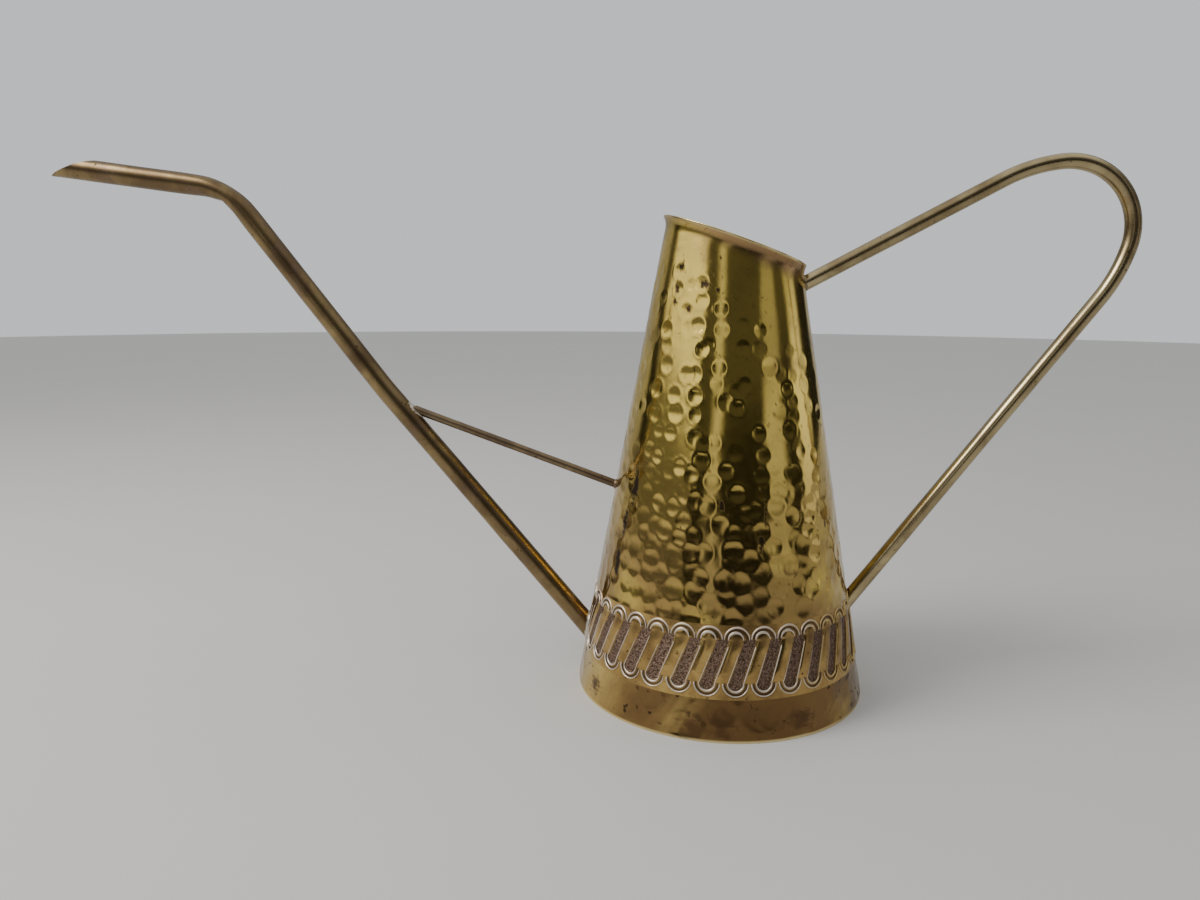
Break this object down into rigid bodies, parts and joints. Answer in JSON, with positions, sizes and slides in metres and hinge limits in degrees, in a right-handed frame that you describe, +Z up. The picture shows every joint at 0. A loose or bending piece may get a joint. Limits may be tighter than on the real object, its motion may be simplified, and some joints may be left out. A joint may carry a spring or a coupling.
{
  "type": "watering can",
  "caption": "Conical brass watering can with a slanted open mouth, a long bent spout with a brace and a swept tube handle.",
  "frame": {"origin": "centre of the foot, on the surface the can stands on", "axes": "+Z up along the body's axis, +X towards the handle, -X towards the spout, +Y across the can"},
  "size_m": [0.5094, 0.14, 0.2537],
  "materials": {
    "body_brass": "polished and hammered, patchy tarnish, embossed band",
    "tube_brass": "smooth drawn tube with a brown patina",
    "rod_brass": "smooth drawn rod with a brown patina",
    "base_brass": "dull unpolished sheet",
    "solder": "grey soft solder, smeared and partly polished"
  },
  "bodies": {
    "root": {"body_shell": "body_brass", "body_seam_solder": "solder", "base_plate": "base_brass", "base_solder": "solder", "spout_tube": "tube_brass", "spout_root_solder": "solder", "spout_brace": "rod_brass", "brace_front_solder": "solder", "brace_rear_solder": "solder", "handle": "tube_brass", "handle_upper_solder": "solder", "handle_lower_solder": "solder"}
  },
  "joints": []
}
